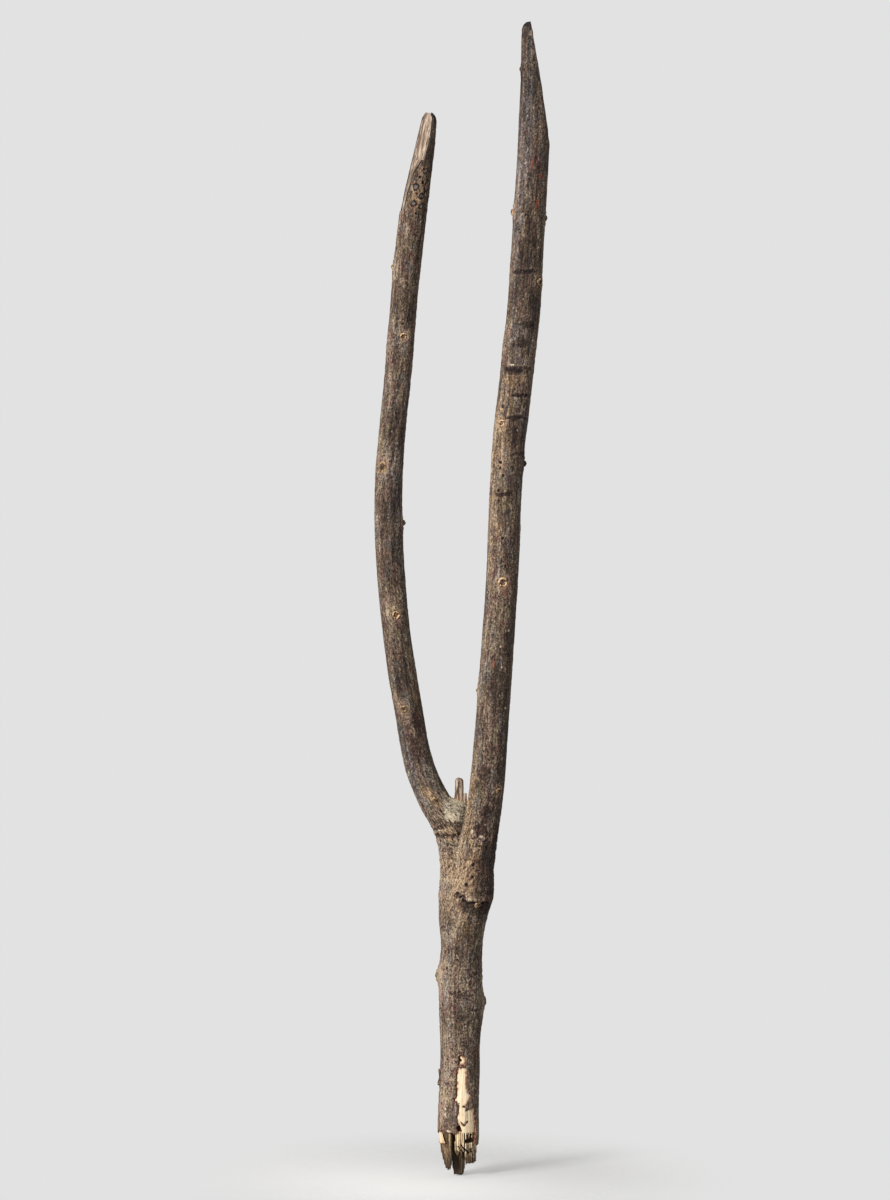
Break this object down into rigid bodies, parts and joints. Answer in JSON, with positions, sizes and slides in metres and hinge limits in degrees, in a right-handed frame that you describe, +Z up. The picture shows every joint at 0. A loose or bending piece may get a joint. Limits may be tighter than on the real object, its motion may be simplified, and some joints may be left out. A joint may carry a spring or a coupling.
{
  "type": "hay fork",
  "caption": "Hay fork cut from one naturally forked branch: a round handle broken short, a swollen union and long bark-covered tines whittled to points.",
  "frame": {"origin": "on the axis of the handle, where the hand closes round it", "axes": "+Z up the handle towards the tine points, +X from the left tine to the right tine, -Y the side with the torn bark"},
  "size_m": [0.1408, 0.0457, 0.923],
  "materials": {
    "bark": "weathered grey-brown bark with lengthwise purple-brown streaks, matt",
    "sapwood": "pale bare wood, matt",
    "weathered_wood": "brown splintered wood, matt",
    "knot": "tan knot with a dark heart, matt",
    "gall": "black blisters with tan rims, matt",
    "twig": "dead grey-brown twig, matt"
  },
  "bodies": {
    "root": {"bark_flake": "bark", "dead_twig": "twig", "dead_twig_splinter": "twig", "handle_bark": "bark", "handle_bud_left": "knot", "handle_bud_right": "knot", "handle_core": "sapwood", "left_tine_bark": "bark", "left_tine_core": "sapwood", "left_tine_gall_1": "gall", "left_tine_gall_2": "gall", "left_tine_gall_3": "gall", "left_tine_gall_4": "gall", "left_tine_gall_5": "gall", "left_tine_knot_1": "knot", "left_tine_knot_2": "knot", "left_tine_knot_3": "knot", "left_tine_knot_4": "knot", "left_tine_knot_5": "knot", "left_tine_knot_6": "knot", "right_tine_bark": "bark", "right_tine_core": "sapwood", "right_tine_knot_1": "knot", "right_tine_knot_2": "knot", "right_tine_knot_3": "knot", "right_tine_knot_4": "knot", "right_tine_knot_5": "knot", "right_tine_knot_6": "knot", "right_tine_knot_7": "knot", "right_tine_knot_8": "knot", "splinter_back": "weathered_wood", "splinter_chip": "sapwood", "splinter_front": "sapwood", "splinter_left": "weathered_wood", "splinter_middle": "weathered_wood", "splinter_right": "sapwood", "union_bark": "bark", "union_core": "sapwood", "union_knot_left": "knot", "union_knot_right": "knot", "union_scar_knot": "knot"}
  },
  "joints": []
}
